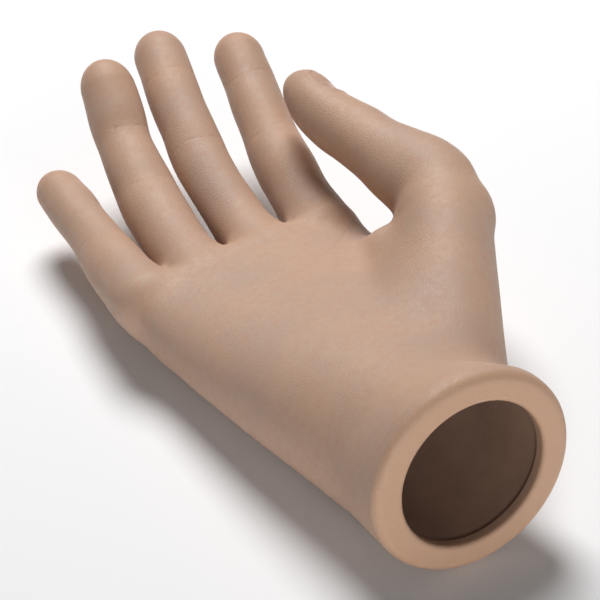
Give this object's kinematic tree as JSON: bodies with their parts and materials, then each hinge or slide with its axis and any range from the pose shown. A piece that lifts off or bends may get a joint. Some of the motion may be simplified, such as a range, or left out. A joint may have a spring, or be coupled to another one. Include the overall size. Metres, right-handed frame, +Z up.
{
  "type": "prosthetic hand",
  "caption": "Passive poseable right-hand prosthesis: soft skin-coloured glove over a rigid palm and hinged finger bones, with a round hollow wrist socket.",
  "frame": {"origin": "bottom centre of the bounding box, on the surface that the hand lies on", "axes": "+Y towards the fingertips, +X towards the thumb side, +Z up, out of the open palm"},
  "size_m": [0.1026, 0.2142, 0.0564],
  "materials": {
    "silicone_skin": "matte satin silicone, skin coloured with soft mottling",
    "rigid_foam": "rigid foam with a smooth skin",
    "socket_laminate": "dark brown laminate, satin",
    "aluminium": "turned, satin",
    "steel": "bright, turned",
    "finger_acetal": "machined off-white acetal",
    "acrylic_nail": "semi-gloss pink acrylic"
  },
  "bodies": {
    "palm": {"bulkhead_plate": "aluminium", "bulkhead_screw_1": "steel", "bulkhead_screw_2": "steel", "bulkhead_screw_3": "steel", "palm_core": "rigid_foam", "palm_glove": "silicone_skin", "stud_bush": "steel", "wrist_liner": "socket_laminate", "index_knuckle_pin": "steel", "middle_knuckle_pin": "steel", "ring_knuckle_pin": "steel", "little_knuckle_pin": "steel", "thumb_base_joint_pin": "steel"},
    "index_proximal": {"index_proximal_bone": "finger_acetal", "index_glove_knuckle": "silicone_skin", "index_middle_joint_pin": "steel"},
    "index_middle": {"index_middle_bone": "finger_acetal", "index_glove_middle_joint": "silicone_skin", "index_end_joint_pin": "steel"},
    "index_distal": {"index_distal_bone": "finger_acetal", "index_glove_end_joint": "silicone_skin", "index_nail": "acrylic_nail"},
    "middle_proximal": {"middle_proximal_bone": "finger_acetal", "middle_glove_knuckle": "silicone_skin", "middle_middle_joint_pin": "steel"},
    "middle_middle": {"middle_middle_bone": "finger_acetal", "middle_glove_middle_joint": "silicone_skin", "middle_end_joint_pin": "steel"},
    "middle_distal": {"middle_distal_bone": "finger_acetal", "middle_glove_end_joint": "silicone_skin", "middle_nail": "acrylic_nail"},
    "ring_proximal": {"ring_proximal_bone": "finger_acetal", "ring_glove_knuckle": "silicone_skin", "ring_middle_joint_pin": "steel"},
    "ring_middle": {"ring_middle_bone": "finger_acetal", "ring_glove_middle_joint": "silicone_skin", "ring_end_joint_pin": "steel"},
    "ring_distal": {"ring_distal_bone": "finger_acetal", "ring_glove_end_joint": "silicone_skin", "ring_nail": "acrylic_nail"},
    "little_proximal": {"little_proximal_bone": "finger_acetal", "little_glove_knuckle": "silicone_skin", "little_middle_joint_pin": "steel"},
    "little_middle": {"little_middle_bone": "finger_acetal", "little_glove_middle_joint": "silicone_skin", "little_end_joint_pin": "steel"},
    "little_distal": {"little_distal_bone": "finger_acetal", "little_glove_end_joint": "silicone_skin", "little_nail": "acrylic_nail"},
    "thumb_proximal": {"thumb_proximal_bone": "finger_acetal", "thumb_glove_base_joint": "silicone_skin", "thumb_end_joint_pin": "steel"},
    "thumb_distal": {"thumb_distal_bone": "finger_acetal", "thumb_glove_end_joint": "silicone_skin", "thumb_nail": "acrylic_nail"}
  },
  "joints": [
    {"name": "index_knuckle", "type": "hinge", "parent": "palm", "child": "index_proximal", "pos_m": [0.01956, 0.02984, 0.02001], "axis": [0.9957, -0.0917, 0.0108], "range_deg": [-15, 12], "deforming": ["index_glove_knuckle"]},
    {"name": "index_middle_joint", "type": "hinge", "parent": "index_proximal", "child": "index_middle", "pos_m": [0.02176, 0.05456, 0.02705], "axis": [0.9906, -0.1358, 0.016], "range_deg": [-5, 35], "deforming": ["index_glove_middle_joint"]},
    {"name": "index_end_joint", "type": "hinge", "parent": "index_middle", "child": "index_distal", "pos_m": [0.02581, 0.0775, 0.03325], "axis": [0.9776, -0.209, 0.0246], "range_deg": [-5, 30], "deforming": ["index_glove_end_joint"]},
    {"name": "middle_knuckle", "type": "hinge", "parent": "palm", "child": "middle_proximal", "pos_m": [-0.00231, 0.03167, 0.01987], "axis": [0.9989, -0.0468, 0.0055], "range_deg": [-15, 60], "deforming": ["middle_glove_knuckle"]},
    {"name": "middle_middle_joint", "type": "hinge", "parent": "middle_proximal", "child": "middle_middle", "pos_m": [-0.00106, 0.0593, 0.02754], "axis": [0.9962, -0.087, 0.0102], "range_deg": [-5, 60], "deforming": ["middle_glove_middle_joint"]},
    {"name": "middle_end_joint", "type": "hinge", "parent": "middle_middle", "child": "middle_distal", "pos_m": [0.00227, 0.08614, 0.03651], "axis": [0.9812, -0.1915, 0.0225], "range_deg": [-5, 35], "deforming": ["middle_glove_end_joint"]},
    {"name": "ring_knuckle", "type": "hinge", "parent": "palm", "child": "ring_proximal", "pos_m": [-0.02323, 0.02921, 0.0194], "axis": [0.9973, -0.0727, 0.0085], "range_deg": [-15, 60], "deforming": ["ring_glove_knuckle"]},
    {"name": "ring_middle_joint", "type": "hinge", "parent": "ring_proximal", "child": "ring_middle", "pos_m": [-0.02154, 0.05273, 0.0218], "axis": [0.9954, -0.0953, 0.0112], "range_deg": [-5, 60], "deforming": ["ring_glove_middle_joint"]},
    {"name": "ring_end_joint", "type": "hinge", "parent": "ring_middle", "child": "ring_distal", "pos_m": [-0.01888, 0.07562, 0.02887], "axis": [0.9892, -0.1453, 0.0171], "range_deg": [-5, 35], "deforming": ["ring_glove_end_joint"]},
    {"name": "little_knuckle", "type": "hinge", "parent": "palm", "child": "little_proximal", "pos_m": [-0.04265, 0.02449, 0.01914], "axis": [0.9995, -0.0312, 0.0037], "range_deg": [-15, 60], "deforming": ["little_glove_knuckle"]},
    {"name": "little_middle_joint", "type": "hinge", "parent": "little_proximal", "child": "little_middle", "pos_m": [-0.04221, 0.03848, 0.01872], "axis": [0.9997, -0.0225, 0.0026], "range_deg": [-5, 60], "deforming": ["little_glove_middle_joint"]},
    {"name": "little_end_joint", "type": "hinge", "parent": "little_middle", "child": "little_distal", "pos_m": [-0.04194, 0.05757, 0.01869], "axis": [0.9999, -0.0104, 0.0012], "range_deg": [-5, 35], "deforming": ["little_glove_end_joint"]},
    {"name": "thumb_base_joint", "type": "hinge", "parent": "palm", "child": "thumb_proximal", "pos_m": [0.0387, -0.00896, 0.0427], "axis": [0.6484, 0.1686, -0.7424], "range_deg": [-6, 25], "deforming": ["thumb_glove_base_joint"]},
    {"name": "thumb_end_joint", "type": "hinge", "parent": "thumb_proximal", "child": "thumb_distal", "pos_m": [0.03172, 0.02429, 0.04415], "axis": [0.6473, 0.1891, -0.7384], "range_deg": [-15, 10], "deforming": ["thumb_glove_end_joint"]}
  ]
}
